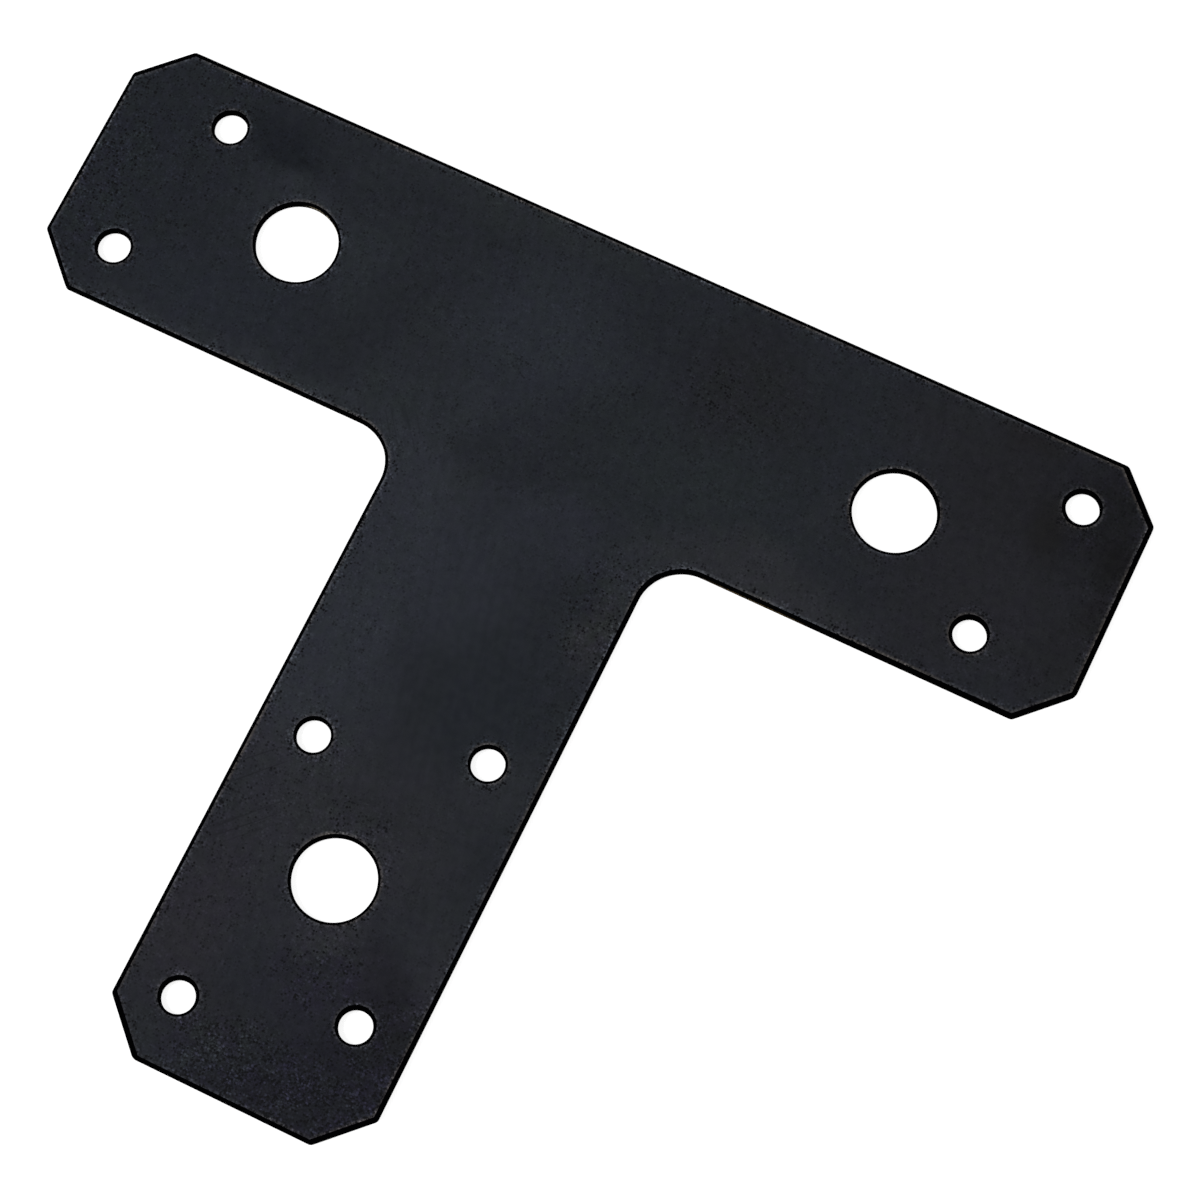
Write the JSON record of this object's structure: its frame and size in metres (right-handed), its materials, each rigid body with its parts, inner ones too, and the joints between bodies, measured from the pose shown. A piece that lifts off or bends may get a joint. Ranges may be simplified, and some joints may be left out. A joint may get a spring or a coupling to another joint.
{
  "type": "t plate bracket",
  "caption": "Flat T-shaped steel plate bracket, black coated, with clipped corners, a bolt hole near each arm's end and staggered screw holes.",
  "frame": {"origin": "where the centrelines of the bar and the stem cross, on the back face", "axes": "+X along the bar, to the right when the front is seen with the bar at the top; +Y up the stem, from its free end towards the bar; +Z out of the front face"},
  "size_m": [0.3048, 0.254, 0.0021],
  "materials": {
    "black_coat": "satin black powder coat on steel sheet"
  },
  "bodies": {
    "root": {"t_plate": "black_coat"}
  },
  "joints": []
}
